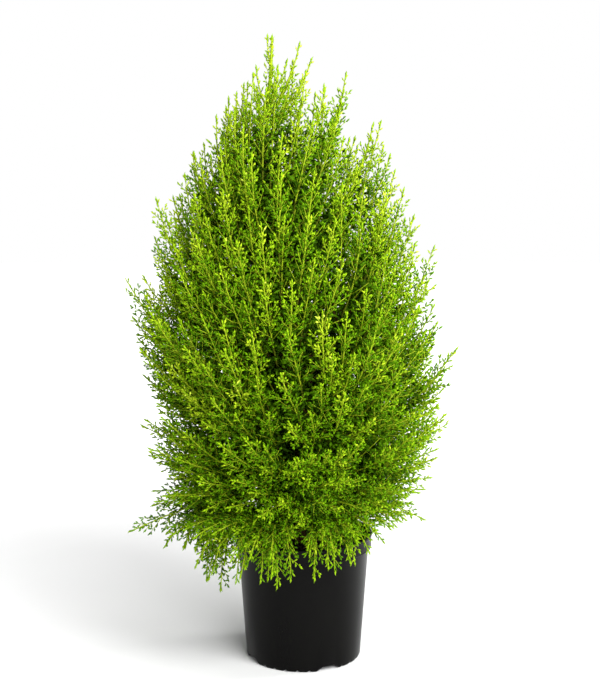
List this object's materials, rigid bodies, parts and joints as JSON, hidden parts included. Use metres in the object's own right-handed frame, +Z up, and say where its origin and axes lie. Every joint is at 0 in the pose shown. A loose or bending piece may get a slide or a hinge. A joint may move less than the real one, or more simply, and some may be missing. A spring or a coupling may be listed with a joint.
{
  "type": "potted lemon cypress",
  "caption": "Lemon cypress grown as a loose pyramid in a round black nursery pot: slim leaning trunk, tiers of boughs and feathery yellow-green foliage.",
  "frame": {"origin": "under the middle of the pot, on its flat underside, where it stands", "axes": "+Z up; -Y is the front that the camera sees, and +X is to the right in that view"},
  "size_m": [0.5222, 0.4972, 0.992],
  "materials": {
    "pot_plastic": "black moulded nursery pot plastic, satin, with a soft sheen",
    "potting_soil": "dark moist potting mix of bark and peat",
    "bark": "reddish-brown, finely fissured bark",
    "foliage": "lime to mid green scale-leaved sprays, paler at the tips and dark inside"
  },
  "bodies": {
    "root": {"bough_low_1": "bark", "bough_low_2": "bark", "bough_low_3": "bark", "bough_low_4": "bark", "bough_low_5": "bark", "bough_middle_1": "bark", "bough_middle_2": "bark", "bough_middle_3": "bark", "bough_middle_4": "bark", "bough_middle_5": "bark", "bough_skirt_1": "bark", "bough_skirt_2": "bark", "bough_skirt_3": "bark", "bough_skirt_4": "bark", "bough_skirt_5": "bark", "bough_top_1": "bark", "bough_top_2": "bark", "bough_top_3": "bark", "bough_upper_1": "bark", "bough_upper_2": "bark", "bough_upper_3": "bark", "bough_upper_4": "bark", "foliage_leader": "foliage", "foliage_low_1": "foliage", "foliage_low_2": "foliage", "foliage_low_3": "foliage", "foliage_low_4": "foliage", "foliage_low_5": "foliage", "foliage_middle_1": "foliage", "foliage_middle_2": "foliage", "foliage_middle_3": "foliage", "foliage_middle_4": "foliage", "foliage_middle_5": "foliage", "foliage_skirt_1": "foliage", "foliage_skirt_2": "foliage", "foliage_skirt_3": "foliage", "foliage_skirt_4": "foliage", "foliage_skirt_5": "foliage", "foliage_top_1": "foliage", "foliage_top_2": "foliage", "foliage_top_3": "foliage", "foliage_upper_1": "foliage", "foliage_upper_2": "foliage", "foliage_upper_3": "foliage", "foliage_upper_4": "foliage", "pot": "pot_plastic", "soil": "potting_soil", "trunk": "bark"}
  },
  "joints": []
}
